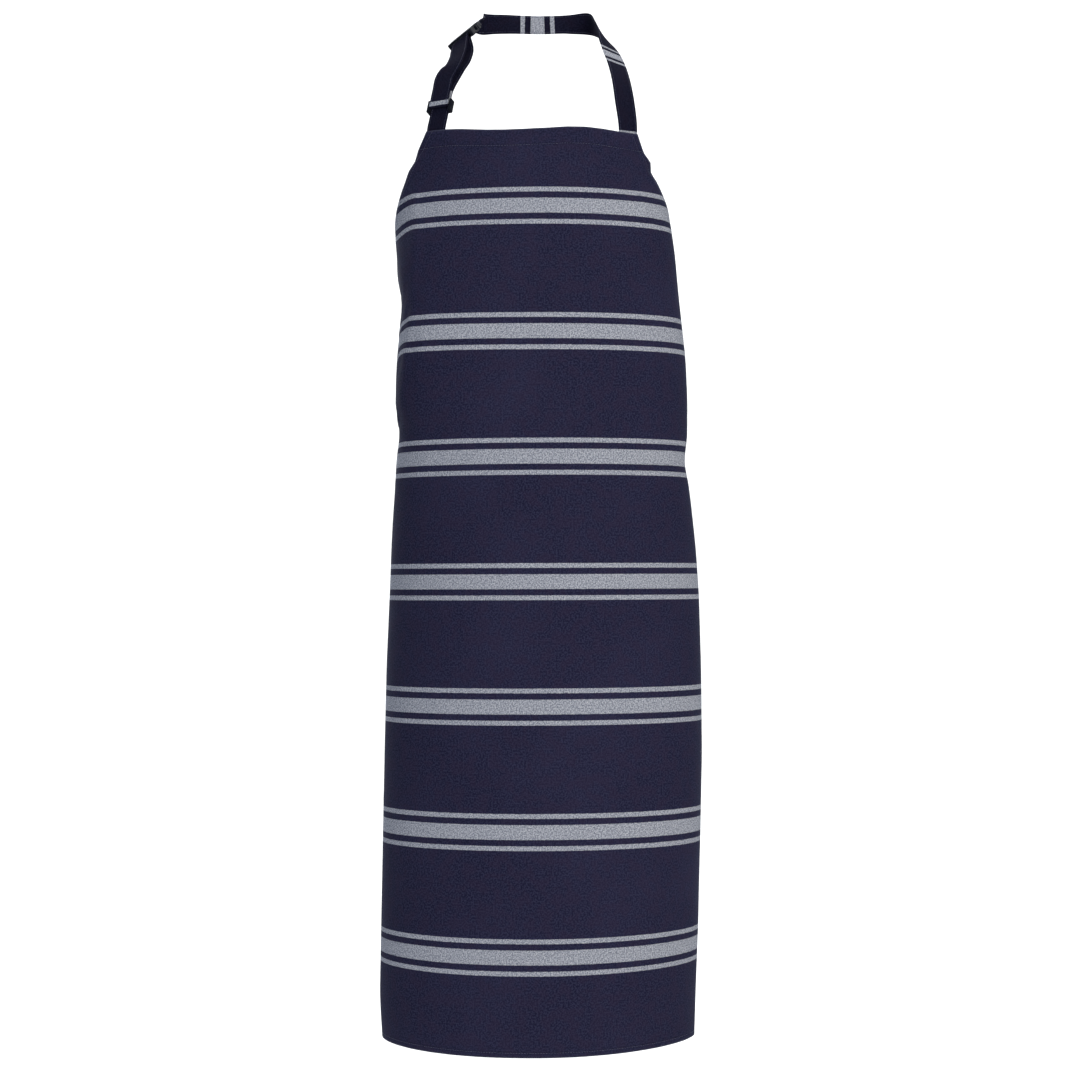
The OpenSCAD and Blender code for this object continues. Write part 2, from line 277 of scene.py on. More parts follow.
shift = settled - worn
shift[:, :, 2] *= DROP_KEPT
far = np.linalg.norm(shift, axis=2)
across_share = smooth_step((np.abs(cut[:, :, 0]) - 0.10) / 0.16)
cap = FRONT_CAP + (SIDE_CAP - FRONT_CAP) * across_share
worn = worn + shift * (np.minimum(far, cap) / np.maximum(far, 1e-9))[:, :, None]
bpy.data.objects.remove(settling)
bpy.data.objects.remove(torso)
scene.frame_set(1)


def finer(points):
    """The same grid with a point added midway along each step, on a smooth curve."""
    for axis in (0, 1):
        p = np.moveaxis(points, axis, 0)
        before = np.concatenate([2 * p[:1] - p[1:2], p[:-1]])
        after = np.concatenate([p[1:], 2 * p[-1:] - p[-2:-1]])
        middle = (9 * (p[:-1] + p[1:]) - before[:-1] - after[1:]) / 16
        both = np.zeros((2 * len(p) - 1,) + p.shape[1:])
        both[0::2], both[1::2] = p, middle
        points = np.moveaxis(both, 0, axis)
    return points


def outward(points):
    """Unit normals of a grid that was laid out to the right and down, seen from outside."""
    right = np.gradient(points, axis=1)
    down = np.gradient(points, axis=0)
    n = np.cross(down, right)
    return n / np.maximum(np.linalg.norm(n, axis=2), 1e-9)[:, :, None]


lie = finer(worn)
cut_fine = finer(cut)
row_fine = cut_fine[:, 0, 1]
lie_out = outward(lie)


def map_cloth(obj, places):
    """Give a piece a map that holds each vertex's place on the flat cloth, in metres."""
    layer = obj.data.uv_layers.new(name="cut")
    corners = np.zeros(len(obj.data.loops), int)
    obj.data.loops.foreach_get("vertex_index", corners)
    layer.data.foreach_set("uv", np.array(places)[corners].ravel())


panel = grid_mesh("apron_panel", lie)
map_cloth(panel, cut_fine.reshape(-1, 2))
slope = (SKIRT_W - BIB_W) / 2 / WAIST_DROP
flat_s, flat_v = np.abs(cut_fine[:, :, 0]), cut_fine[:, :, 1]
to_armhole = (BIB_W / 2 + slope * flat_v - flat_s) / math.hypot(1, slope)
edge = np.minimum(np.minimum(to_armhole, SKIRT_W / 2 - flat_s), PANEL_L - flat_v)
edge_attribute = panel.data.attributes.new("edge_distance", "FLOAT", "POINT")
edge_attribute.data.foreach_set("value", np.maximum(edge, 0).ravel().astype(np.float32))
panel.data.shade_smooth()
wall = panel.modifiers.new("Thickness", "SOLIDIFY")
wall.thickness = CLOTH_T
wall.offset = -1
apply_modifiers(panel)


class Wire:
    """A value on its way through a finish; ordinary maths on it adds the nodes."""

    def __init__(self, finish, socket):
        self.finish, self.socket = finish, socket

    def maths(self, operation, *others):
        sockets = dict(enumerate((self,) + others))
        return self.finish.node("ShaderNodeMath", {"operation": operation}, sockets)

    def __add__(self, other):
        return self.maths("ADD", other)

    __radd__ = __add__

    def __sub__(self, other):
        return self.maths("SUBTRACT", other)

    def __rsub__(self, other):
        return self.maths("MULTIPLY_ADD", -1.0, other)

    def __mul__(self, other):
        return self.maths("MULTIPLY", other)

    __rmul__ = __mul__

    def __truediv__(self, other):
        return self.maths("DIVIDE", other)

    def __abs__(self):
        return self.maths("ABSOLUTE")

    def fract(self):
        return self.maths("FRACT")

    def sine(self):
        return self.maths("SINE")

    def above(self, edge, softness):
        """0 below the edge and 1 above it, with a soft step."""
        settings = {"interpolation_type": "SMOOTHSTEP"}
        sockets = {"Value": self, "From Min": edge - softness, "From Max": edge + softness}
        return self.finish.node("ShaderNodeMapRange", settings, sockets)

    def below(self, edge, softness):
        return 1 - self.above(edge, softness)


class Finish:
    """A surface finish made of shader nodes."""

    def __init__(self, name):
        self.material = bpy.data.materials.new(name)
        self.material.use_nodes = True
        self.tree = self.material.node_tree
        self.tree.nodes.clear()

    def node(self, kind, settings=None, sockets=None, output=0):
        made = self.tree.nodes.new(kind)
        for key, value in (settings or {}).items():
            setattr(made, key, value)
        for key, value in (sockets or {}).items():
            if isinstance(value, Wire):
                self.tree.links.new(value.socket, made.inputs[key])
            else:
                made.inputs[key].default_value = value
        return Wire(self, made.outputs[output])

    def mix(self, factor, low, high):
        low, high = (c if isinstance(c, Wire) else (*c, 1.0) for c in (low, high))
        return self.node("ShaderNodeMix", {"data_type": "RGBA"}, {0: factor, 6: low, 7: high}, output=2)

    def surface(self, sockets):
        shader = self.node("ShaderNodeBsdfPrincipled", {}, sockets)
        self.node_output(shader)

    def node_output(self, shader):
        out = self.tree.nodes.new("ShaderNodeOutputMaterial")
        self.tree.links.new(shader.socket, out.inputs["Surface"])


NAVY = (0.0064, 0.0069, 0.0205)
NAVY_LIGHT = (0.0212, 0.0212, 0.0482)
NAVY_WORN = (0.030, 0.029, 0.064)
NAVY_WARM = (0.0215, 0.0145, 0.0330)
PALE_THREAD = (0.495, 0.503, 0.528)
PALE_THREAD_WORN = (0.150, 0.165, 0.207)
STRIPE_PITCH = 0.1377
FIRST_STRIPE = 0.0887
WIDE_HALF = 0.0082
NARROW_FROM = 0.0151
NARROW_TO = 0.0203
STRIPE_EDGE = 0.00025
YARN = 0.0005


def striped_twill(name, first=FIRST_STRIPE, pitch=STRIPE_PITCH, hemmed=False, painted_shade_scale=1.0):
    """Navy twill with woven stripe groups; the map's x runs across the cloth and y down it, in metres."""
    f = Finish(name)
    flat = f.node("ShaderNodeUVMap", {"uv_map": "cut"})
    across = f.node("ShaderNodeSeparateXYZ", {}, {0: flat})
    down = f.node("ShaderNodeSeparateXYZ", {}, {0: flat}, output=1)

    def noise(across_scale, down_scale, detail, roughness=0.5):
        scale = (across_scale, down_scale, 1.0)
        stretched = f.node("ShaderNodeVectorMath", {"operation": "MULTIPLY"}, {0: flat, 1: scale})
        sockets = {"Vector": stretched, "Scale": 1.0, "Detail": detail, "Roughness": roughness}
        return f.node("ShaderNodeTexNoise", {"noise_dimensions": "2D"}, sockets)

    # Yarns: 20 to the centimetre each way, in a two and one twill
    rib = ((across + down) * (1 / (3 * YARN)) + noise(60.0, 60.0, 2.0) * 0.8).fract()
    rib_height = (rib * (2 * math.pi)).sine() * 0.5 + 0.5
    warp = ((across * (1 / YARN)).fract() * (2 * math.pi)).sine() * 0.5 + 0.5
    weft = ((down * (1 / YARN)).fract() * (2 * math.pi)).sine() * 0.5 + 0.5

    # Slubs are short thick and thin places along the yarns; flecks are where the other set shows between them
    weft_slub = noise(260.0, 1500.0, 3.0)
    warp_slub = noise(1500.0, 200.0, 3.0)
    fleck = noise(520.0, 520.0, 4.0, 0.6)
    speck = noise(640.0, 640.0, 4.0, 0.6)
    blotch = noise(9.0, 9.0, 3.0)
    cast = noise(70.0, 70.0, 3.0)

    # Stripe group: a wide band with a narrow one on each side of it
    ragged = (weft_slub - 0.5) * 0.0008
    place = ((down - (first - pitch / 2)) / pitch).fract() * pitch - pitch / 2
    away = abs(place) + ragged
    wide = away.below(WIDE_HALF, STRIPE_EDGE)
    narrow = away.above(NARROW_FROM, STRIPE_EDGE) * away.below(NARROW_TO, STRIPE_EDGE)
    pale = wide + narrow

    # Every navy colour here is multiplied by this scale: below 1 it is painted shade, and sheen and gloss are
    # cut with it
    dark, light, bright = (tuple(c * painted_shade_scale for c in navy) for navy in (NAVY, NAVY_LIGHT, NAVY_WORN))
    navy = f.mix(fleck.above(0.5, 0.09) * 0.85 + warp_slub.above(0.5, 0.25) * 0.15, dark, light)
    navy = f.mix(blotch.above(0.62, 0.3) * speck * 0.5, navy, bright)
    navy = f.mix(cast.above(0.52, 0.1) * 0.35, navy, tuple(c * painted_shade_scale for c in NAVY_WARM))
    bare = speck.above(0.5, 0.10) * 0.75 + weft_slub.above(0.5, 0.22) * 0.25
    thread = f.mix(bare, PALE_THREAD_WORN, PALE_THREAD)
    show_through = rib_height.below(0.22, 0.2) * 0.75 + warp_slub.above(0.62, 0.08) * 0.35
    thread = f.mix(show_through, thread, (0.050, 0.054, 0.085))
    colour = f.mix(pale, navy, thread)
    height = rib_height * 0.5 + (warp + weft) * 0.18 + weft_slub * 0.3
    seam_height = 0.0
    if hemmed:
        edge_distance = f.node("ShaderNodeAttribute", {"attribute_name": "edge_distance"}, output=2)
        to_side_row = abs(edge_distance - ARM_ROW_IN)
        to_top_row = abs(down - TOP_ROW_IN)
        row = to_side_row.below(0.0009, 0.0009)
        top_row = to_top_row.below(0.0010, 0.0010)
        groove = row.maths("MAXIMUM", top_row)
        thick = edge_distance.below(0.0075, 0.0012).maths("MAXIMUM", down.below(0.0195, 0.0012))
        pucker = noise(230.0, 230.0, 1.0)
        near_row = to_side_row.below(0.004, 0.003).maths("MAXIMUM", to_top_row.below(0.005, 0.004))
        seam_height = thick * 4.0 - groove * 6.0 + pucker * near_row * 3.0
        # The cloth is lighter within about a millimetre of the panel's edges and the bib's top
        edge_lightening = edge_distance.below(0.0012, 0.0010).maths("MAXIMUM", down.below(0.0012, 0.0010))
        colour = f.mix(edge_lightening * 0.4, colour, (0.060, 0.062, 0.095))
        # Painted shade: the cloth is darkened along the grooves of the stitch rows
        colour = f.mix(groove * 0.25, colour, (0.010, 0.010, 0.022))
    relief = {"Strength": 0.55, "Distance": 0.00012, "Height": height + seam_height}
    bump = f.node("ShaderNodeBump", {}, relief)
    f.surface(
        {
            "Base Color": colour,
            "Roughness": 0.80 + weft_slub * 0.12,
            "Normal": bump,
            "Sheen Weight": 0.025 * painted_shade_scale,
            "Sheen Roughness": 0.5,
            "Sheen Tint": (0.55, 0.65, 1.0, 1.0),
            "Specular IOR Level": 0.05 * painted_shade_scale,
        }
    )
    return f.material


panel.data.materials.append(striped_twill("panel_striped_twill", hemmed=True))
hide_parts("body_panel")
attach(panel, "apron")

# Hems: the panel's own edges folded twice to the inside and sewn down.
# The bib's top hem is deep, because the neck strap's ends are sewn under it.
HEM_T = 0.0009


def inner_strip(name, rows, columns, lift):
    """A folded strip lying against the inside of the panel, over those rows and columns of its grid."""
    p = lie[rows[0]:rows[1], columns[0]:columns[1]]
    n = lie_out[rows[0]:rows[1], columns[0]:columns[1]]
    strip = grid_mesh(name, p - n * lift)
    map_cloth(strip, cut_fine[rows[0]:rows[1], columns[0]:columns[1]].reshape(-1, 2))
    strip.data.shade_smooth()
    solid = strip.modifiers.new("Thickness", "SOLIDIFY")
    solid.thickness = HEM_T
    solid.offset = -1
    apply_modifiers(strip)
    strip.data.materials.append(hem_cloth)
    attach(strip, "apron")
    return strip


hem_cloth = striped_twill("hem_twill")
waist_row = int(np.argmin(np.abs(row_fine - WAIST_DROP)))
last_row, last_column = lie.shape[0], lie.shape[1]
hem_lift = CLOTH_T + 0.0002
for name, rows, columns in (
    ("top_hem", (0, 5), (2, last_column - 2)),
    ("left_armhole_hem", (0, waist_row + 1), (0, 3)),
    ("right_armhole_hem", (0, waist_row + 1), (last_column - 3, last_column)),
    ("left_side_hem", (waist_row, last_row), (0, 3)),
    ("right_side_hem", (waist_row, last_row), (last_column - 3, last_column)),
    ("bottom_hem", (last_row - 3, last_row), (2, last_column - 2)),
):
    hem = inner_strip(name + "_fold", rows, columns, hem_lift)
    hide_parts(name)

# Hem stitching: lock stitches of blue polyester thread, 3 mm long, right through panel and hem.
# Each stitch is a small lozenge that lies on the outside, with its mate on the inside.
STITCH = 0.003
THREAD_R = 0.00016
BOTTOM_ROW_IN = 0.0055


def column_at(s, v):
    inner = cloth_half(v) - EDGE_HEM
    middle = (last_column - 1) / 2
    if abs(s) <= inner:
        return middle + s / inner * (middle - 2)
    return middle + math.copysign(middle - 2 + 2 * (abs(s) - inner) / EDGE_HEM, s)


def on_cloth(s, v, lift):
    """The point at flat place (s, v), lifted off the outside of the cloth, and the way outwards there."""
    r = float(np.interp(v, row_fine, np.arange(last_row)))
    c = min(max(column_at(s, v), 0.0), last_column - 1.0)
    i, j = min(int(r), last_row - 2), min(int(c), last_column - 2)
    a, b = r - i, c - j
    shares = ((0, 0, (1 - a) * (1 - b)), (1, 0, a * (1 - b)), (0, 1, (1 - a) * b), (1, 1, a * b))
    p = sum(lie[i + m, j + k] * w for m, k, w in shares)
    n = sum(lie_out[i + m, j + k] * w for m, k, w in shares)
    n = n / np.linalg.norm(n)
    return p + n * lift, n


def add_stitch(verts, faces, a, b, n, radius):
    """A thread lozenge from a to b that bulges along n."""
    way = b - a
    side = np.cross(way, n)
    side = side / max(np.linalg.norm(side), 1e-9)
    k = len(verts)
    verts.append(a)
    for share, swell in ((0.22, 0.9), (0.78, 0.9)):
        middle = a + way * share
        for u, w in ((1, 0), (0.3, 1.0), (-0.3, 1.0), (-1, 0)):
            verts.append(middle + side * u * radius * swell + n * (w * radius * 1.3 * swell + radius * 0.1))
    verts.append(b)
    for q in range(3):
        faces.append((k, k + 1 + q, k + 2 + q))
        faces.append((k + 1 + q, k + 5 + q, k + 6 + q, k + 2 + q))
        faces.append((k + 5 + q, k + 9, k + 6 + q))
    faces.append((k, k + 4, k + 1))
    faces.append((k + 4, k + 8, k + 5, k + 1))
    faces.append((k + 8, k + 9, k + 5))


def stitch_rows_on_panel():
    """The start and end of each row of stitches, as flat places on the cloth."""
    bottom = PANEL_L - BOTTOM_ROW_IN
    half = SKIRT_W / 2 - ARM_ROW_IN
    arm_top = BIB_W / 2 - ARM_ROW_IN * math.hypot(1, slope)
    arm_end = (half - arm_top) / slope
    top_half = BIB_W / 2 + slope * TOP_ROW_IN - 0.001
    rows = [((-top_half, TOP_ROW_IN), (top_half, TOP_ROW_IN)), ((-half, bottom), (half, bottom))]
    for side in (-1, 1):
        rows.append(((side * arm_top, 0.001), (side * half, arm_end)))
        rows.append(((side * half, arm_end), (side * half, PANEL_L - 0.001)))
    return rows


verts, faces = [], []
for start, end in stitch_rows_on_panel():
    start, end = np.array(start), np.array(end)
    count = max(2, int(np.linalg.norm(end - start) / STITCH))
    for k in range(count):
        a, b = (start + (end - start) * q / count for q in (k + 0.06, k + 0.94))
        for lift, sign in ((0.00002, 1), (-(hem_lift + HEM_T) - 0.00002, -1)):
            (pa, na), (pb, nb) = on_cloth(*a, lift), on_cloth(*b, lift)
            add_stitch(verts, faces, pa, pb, sign * na, THREAD_R)


def mesh_object(name, verts, faces):
    mesh = bpy.data.meshes.new(name)
    mesh.from_pydata([tuple(float(c) for c in p) for p in verts], [], faces)
    obj = bpy.data.objects.new(name, mesh)
    bpy.context.collection.objects.link(obj)
    return obj


def recalculate_outside(obj):
    bpy.ops.object.select_all(action="DESELECT")
    bpy.context.view_layer.objects.active = obj
    obj.select_set(True)
    bpy.ops.object.mode_set(mode="EDIT")
    bpy.ops.mesh.select_all(action="SELECT")
    bpy.ops.mesh.normals_make_consistent(inside=False)
    bpy.ops.object.mode_set(mode="OBJECT")
    obj.select_set(False)


hem_stitches = mesh_object("hem_stitching", verts, faces)
recalculate_outside(hem_stitches)
hem_stitches.data.shade_smooth()


def thread_finish(name, dark, light):
    """Spun thread: its twist shows as fine light and dark along it."""
    f = Finish(name)
    place = f.node("ShaderNodeTexCoord", {}, {}, output=3)
    twist = f.node("ShaderNodeTexNoise", {}, {"Vector": place, "Scale": 2600.0, "Detail": 2.0})
    colour = f.mix(twist.above(0.5, 0.2), dark, light)
    bump = f.node("ShaderNodeBump", {}, {"Strength": 0.5, "Distance": 0.00008, "Height": twist})
    f.surface({"Base Color": colour, "Roughness": 0.62 + twist * 0.1, "Normal": bump, "Sheen Weight": 0.2})
    return f.material


blue_thread = thread_finish("blue_thread", (0.020, 0.024, 0.060), (0.045, 0.052, 0.115))
hem_stitches.data.materials.append(blue_thread)
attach(hem_stitches, "apron")

# Neck strap: the panel's cloth folded to 25 mm and sewn along both edges.
# It is sewn under the bib's right corner, goes round the neck and ends on the clip's plug.
STRAP_W = 0.025
STRAP_T = 0.0014


def unit(v):
    return v / np.linalg.norm(v)


def square_to(v, d):
    return unit(v - (v @ d) * d)


def smooth_route(stations, step=0.003):
    """A dense route through stations, each a point and a way across, on a smooth curve."""
    stations = np.array([np.concatenate(s) for s in stations], float)
    padded = np.concatenate([[2 * stations[0] - stations[1]], stations, [2 * stations[-1] - stations[-2]]])
    dense = []
    for a, b, c, d in zip(padded, padded[1:], padded[2:], padded[3:]):
        n = max(1, int(np.linalg.norm(c[:3] - b[:3]) / step))
        gap = [max(np.linalg.norm(q[:3] - p[:3]), 1e-5) for p, q in ((a, b), (b, c), (c, d))]
        m1 = gap[1] * ((b - a) / gap[0] - (c - a) / (gap[0] + gap[1]) + (c - b) / gap[1])
        m2 = gap[1] * ((c - b) / gap[1] - (d - b) / (gap[1] + gap[2]) + (d - c) / gap[2])
        for k in range(n):
            t = k / n
            dense.append(
                (2 * t**3 - 3 * t**2 + 1) * b + (t**3 - 2 * t**2 + t) * m1
                + (3 * t**2 - 2 * t**3) * c + (t**3 - t**2) * m2
            )
    dense.append(stations[-1])
    return np.array(dense)


def strap_frames(route):
    p = route[:, :3]
    way = np.gradient(p, axis=0)
    way = way / np.linalg.norm(way, axis=1)[:, None]
    across = np.array([square_to(x, d) for x, d in zip(route[:, 3:6], way)])
    out = np.cross(across, way)
    run = np.concatenate([[0], np.cumsum(np.linalg.norm(np.diff(p, axis=0), axis=1))])
    return p, across, out, run


ROW_IN = 0.0024


def strap_profile(width, thick):
    """Round an edge-stitched folded strap: x across it and z through it."""
    half = width / 2
    top = [
        (-half, 0.0),
        (-half + 0.0003, 0.36),
        (-half + 0.0010, 0.50),
        (-half + ROW_IN - 0.0005, 0.46),
        (-half + ROW_IN, 0.34),
        (-half + ROW_IN + 0.0005, 0.46),
        (-half + 0.0045, 0.50),
        (-half / 3, 0.47),
    ]
    right = [(-x, z) for x, z in reversed(top)]
    upper = top + right
    lower = [(x, -z) for x, z in reversed(upper[1:-1])]
    return [(x, z * thick) for x, z in upper + lower]


def sewn_strap(
    name, route, stripes, width=STRAP_W, thick=STRAP_T, cloth_at=None, part=None, stitched_ends=()
):
    """A strap along a dense route, or a part of one, with its edge stitching.

    cloth_at turns lengths along the route into places down the cloth, for the stripes.
    """
    p, across, out, run = (a[part] if part else a for a in strap_frames(route))
    begin, end = run[0], run[-1]
    down_cloth = cloth_at(run) if cloth_at else run
    ring = strap_profile(width, thick)
    m = len(ring)
    verts, faces, places = [], [], []
    for q, x, z, r in zip(p, across, out, down_cloth):
        for u, w in ring:
            verts.append(q + x * u + z * w)
            places.append((u, r))
    for i in range(len(p) - 1):
        for k in range(m):
            n = (k + 1) % m
            faces.append((i * m + k, i * m + n, (i + 1) * m + n, (i + 1) * m + k))
    faces.append(tuple(range(m)))
    faces.append(tuple(reversed(range((len(p) - 1) * m, len(p) * m))))
    cloth_faces = len(faces)
    stitch = []
    for edge_x in (-width / 2 + ROW_IN, width / 2 - ROW_IN):
        for sign in (1, -1):
            for k in range(int((end - begin) / STITCH)):
                a, b = begin + (k + 0.06) * STITCH, begin + (k + 0.94) * STITCH
                stitch.append((edge_x, a, edge_x, b, sign))
    for at in stitched_ends:
        for sign in (1, -1):
            for k in range(int((width - 0.005) / STITCH)):
                x0 = -width / 2 + 0.0025 + (k + 0.06) * STITCH
                stitch.append((x0, at, x0 + 0.88 * STITCH, at, sign))
    frames = np.concatenate([p, across, out], axis=1)
    for x0, r0, x1, r1, sign in stitch:
        ends = []
        for x, r in ((x0, r0), (x1, r1)):
            at = np.array([np.interp(r, run, frames[:, c]) for c in range(9)])
            sunk = 0.36 if x0 == x1 else 0.48
            ends.append((at[:3] + at[3:6] * x + sign * at[6:9] * thick * sunk, sign * at[6:9]))
        add_stitch(verts, faces, ends[0][0], ends[1][0], unit(ends[0][1]), THREAD_R)
    obj = mesh_object(name, verts, faces)
    map_cloth(obj, places + [(0.0, 0.0)] * (len(verts) - len(places)))
    obj.data.materials.append(stripes)
    obj.data.materials.append(blue_thread)
    for face in obj.data.polygons[cloth_faces:]:
        face.material_index = 1
    recalculate_outside(obj)
    obj.data.shade_smooth()
    return obj


# The straps, ties and knot use the panel's cloth darkened by this factor, with less sheen and gloss: painted
# shade
STRAP_PAINTED_SHADE = 0.42

# The clip's own directions, from its joint and its place
joints = {j["name"]: j for j in frame["record"]["behaviour"]["joints"]}
clip_way = unit(np.array(joints["clip_release"]["axis"]))
left_root, right_root = (np.array(joints[n]["pos_m"]) for n in ("left_prong_squeeze", "right_prong_squeeze"))
clip_across = unit(right_root - left_root)
clip_out = np.cross(clip_across, clip_way)
clip_middle = (left_root + right_root) / 2 - 0.0094 * clip_way


def on_clip(y, z):
    return clip_middle + y * clip_way + z * clip_out


PLUG_BAR = 0.025
LOOP_R = 0.0023
foot_s = BIB_W / 2 - STRAP_W / 2 + 0.0005
FOOT_LIFT = -(CLOTH_T + HEM_T + 0.0004 + STRAP_T / 2)


def cloth_across(s, v):
    return unit(on_cloth(s + 0.004, v, 0)[0] - on_cloth(s - 0.004, v, 0)[0])


outer_way = -clip_across
right_foot = on_cloth(foot_s, 0.0, FOOT_LIFT)[0]
SHOULDER = (0.0835, -0.112, -0.0640)
plug_turn = [
    (on_clip(PLUG_BAR - LOOP_R * math.sin(q), LOOP_R * math.cos(q)), outer_way)
    for q in np.radians(np.linspace(0, 180, 9))
]
neck_stations = [
    (on_cloth(foot_s, 0.0175, FOOT_LIFT)[0], cloth_across(foot_s, 0.0175)),
    (right_foot, cloth_across(foot_s, 0.0)),
    ([0.0945, -0.165, -0.127], [0.9, 0.4, -0.08]),
    ([0.0918, -0.155, -0.1057], [0.88, 0.42, -0.14]),
    ([0.0873, -0.132, -0.0800], [0.88, 0.36, -0.24]),
    (SHOULDER, [0.88, 0.30, -0.30]),
    ([0.0792, -0.091, -0.0482], [0.84, 0.32, -0.40]),
    ([0.0691, -0.045, -0.0182], [0.42, 0.38, -0.80]),
    ([0.0555, -0.014, -0.0021], [0.1, 0.1, -1]),
    ([0.036, -0.002, 0.0005], [0, -0.25, -0.95]),
    ([0.0, 0.0, 0.0], [0, -0.3, -0.95]),
    ([-0.038, -0.002, 0.0005], [-0.1, -0.25, -0.95]),
    ([-0.0680, -0.009, -0.001], [-0.3, 0, -0.9]),
    (on_clip(0.079, 0), outer_way),
    (on_clip(0.072, 0.0003), outer_way),
    (on_clip(0.060, 0.0018), outer_way),
    (on_clip(0.048, LOOP_R), outer_way),
    (on_clip(0.036, LOOP_R), outer_way),
    *plug_turn,
    (on_clip(0.034, -LOOP_R), outer_way),
    (on_clip(0.047, -LOOP_R + 0.0008), outer_way),
]
neck_route = smooth_route([(np.array(p), np.array(x)) for p, x in neck_stations], step=0.002)
neck_run = strap_frames(neck_route)[3]


def run_near(route, place):
    """How far along a route it passes nearest to a place."""
    i = int(np.argmin(np.linalg.norm(route[:, :3] - np.array(place), axis=1)))
    return i, float(strap_frames(route)[3][i])


back_run = run_near(neck_route, (0, 0, 0))[1] + 0.003
shoulder_run = run_near(neck_route, SHOULDER)[1]
foot_run = run_near(neck_route, right_foot)[1]
joined = run_near(neck_route, on_clip(0.079, 0))[0]
CALM = 0.028
neck_places = [
    0.0,
    foot_run + 0.003,
    shoulder_run - CALM,
    shoulder_run + CALM,
    back_run - CALM,
    back_run + CALM,
    1.0,
]
neck_cloth_places = [
    0.0206 - foot_run - 0.0022,
    0.0214,
    STRIPE_PITCH - CALM,
    STRIPE_PITCH + CALM,
    2 * STRIPE_PITCH - CALM,
    2 * STRIPE_PITCH + CALM,
    2 * STRIPE_PITCH + 1.0 - back_run,
]


def neck_cloth_at(run):
    """The strap is joined from lengths of cloth, so its stripe groups are not evenly spaced."""
    return np.interp(run, neck_places, neck_cloth_places)


neck_cloth = striped_twill("neck_strap_twill", first=0.0, painted_shade_scale=STRAP_PAINTED_SHADE)
neck_strap = sewn_strap(
    "neck_strap_cloth",
    neck_route,
    part=slice(0, joined + 1),
    cloth_at=neck_cloth_at,
    stitched_ends=(0.003, 0.015),
    stripes=neck_cloth,
)
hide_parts("neck_strap")
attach(neck_strap, "apron")

# Plug end of the neck strap: the same cloth, on from the strap's straight run.
# It goes round the plug's bar and is sewn back on itself.
plug_strap = sewn_strap(
    "neck_strap_plug_end",
    neck_route,
    part=slice(joined, None),
    cloth_at=neck_cloth_at,
    stitched_ends=(neck_run[-1] - 0.003, neck_run[-1] - 0.007),
    stripes=neck_cloth,
)
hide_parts("plug_strap_end")
on_clip(0.078, 0)
on_clip(0.046, 0)
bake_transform(plug_strap)

# Adjusting strap: sewn under the bib's left corner, it runs up through the slider,
# round the bar of the clip's socket and down again in front to its sewn end on the slider.
run_way = unit(np.array(joints["slider_adjust"]["axis"]))
SOCKET_BAR = (-0.019, -0.0012)
FOLD_T = 0.0010
FOLD_R = 0.0018
FOLD_OFF = STRAP_T / 2 + 0.0003 + FOLD_T / 2 + FOLD_R
left_foot = on_cloth(-foot_s, 0.0, FOOT_LIFT)[0]
slider_low, slider_high = (Vector(p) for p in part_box("strap_slider"))
slider_middle = np.array((slider_low + slider_high) / 2)
run_across = square_to(cloth_across(-foot_s, 0.0), run_way)
run_out = np.cross(run_across, run_way)


def on_run(y, z):
    return slider_middle + y * run_way + (z - (FOLD_OFF - 0.0017) / 2) * run_out


fold_turn = [
    (on_run(-FOLD_R * math.sin(q), FOLD_OFF - FOLD_R * math.cos(q)), run_across)
    for q in np.radians(np.linspace(0, 180, 9))
]
socket_turn = [
    (on_clip(SOCKET_BAR[0] + LOOP_R * math.sin(q), SOCKET_BAR[1] + LOOP_R * math.cos(q)), clip_across)
    for q in np.radians(np.linspace(0, 180, 9))
]
adjusting_stations = [
    (on_run(0.020, FOLD_OFF - FOLD_R), run_across),
    (on_run(0.010, FOLD_OFF - FOLD_R), run_across),
    *fold_turn,
    (on_run(0.010, FOLD_OFF + FOLD_R), run_across),
    (on_run(0.024, FOLD_OFF + FOLD_R), run_across),
    (on_run(0.037, FOLD_OFF + 0.001), [0.86, -0.42, 0.12]),
    ([-0.0985, -0.150, -0.0835], [0.80, -0.45, 0.20]),
    ([-0.0932, -0.137, -0.0680], [0.76, -0.48, 0.30]),
    ([-0.0915, -0.122, -0.0530], [0.77, -0.42, 0.42]),
    (on_clip(-0.026, 0.0011), clip_across),
    *socket_turn,
    (on_clip(-0.027, SOCKET_BAR[1] - LOOP_R), clip_across),
    ([-0.086, -0.119, -0.060], [0.8, -0.4, 0.3]),
    ([-0.0885, -0.131, -0.0745], [0.84, -0.42, 0.1]),
    ([-0.096, -0.145, -0.090], [0.86, -0.46, 0]),
    (on_run(0.016, 0), run_across),
    (on_run(0.0, 0), run_across),
    (on_run(-0.014, 0), run_across),
    (left_foot, cloth_across(-foot_s, 0.0)),
    (on_cloth(-foot_s, 0.0175, FOOT_LIFT)[0], cloth_across(-foot_s, 0.0175)),
]
adjusting_route = smooth_route([(np.array(p), np.array(x)) for p, x in adjusting_stations], step=0.0018)
adjusting_run = strap_frames(adjusting_route)[3]
fold_front = run_near(adjusting_route, on_run(0.0015, FOLD_OFF + FOLD_R))[1]
bar_at = run_near(adjusting_route, on_clip(-0.021, 0.0011))[0]


# One narrow stripe lies on the fold at the slider, and no other stripe group shows on the strap
FOLD_STRIPE = 0.0175
CLEAR_PITCH = 0.42


def adjusting_cloth_at(run):
    """The place down the cloth of a place along the strap."""
    return run - fold_front + FOLD_STRIPE


adjusting_cloth = striped_twill("adjusting_strap_twill", first=0.0, pitch=CLEAR_PITCH, painted_shade_scale=STRAP_PAINTED_SHADE)
running_strap = sewn_strap(
    "adjusting_strap_cloth",
    adjusting_route,
    part=slice(bar_at, None),
    cloth_at=adjusting_cloth_at,
    stitched_ends=(adjusting_run[-1] - 0.003, adjusting_run[-1] - 0.015),
    stripes=adjusting_cloth,
)
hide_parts("adjusting_strap")
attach(running_strap, "apron")
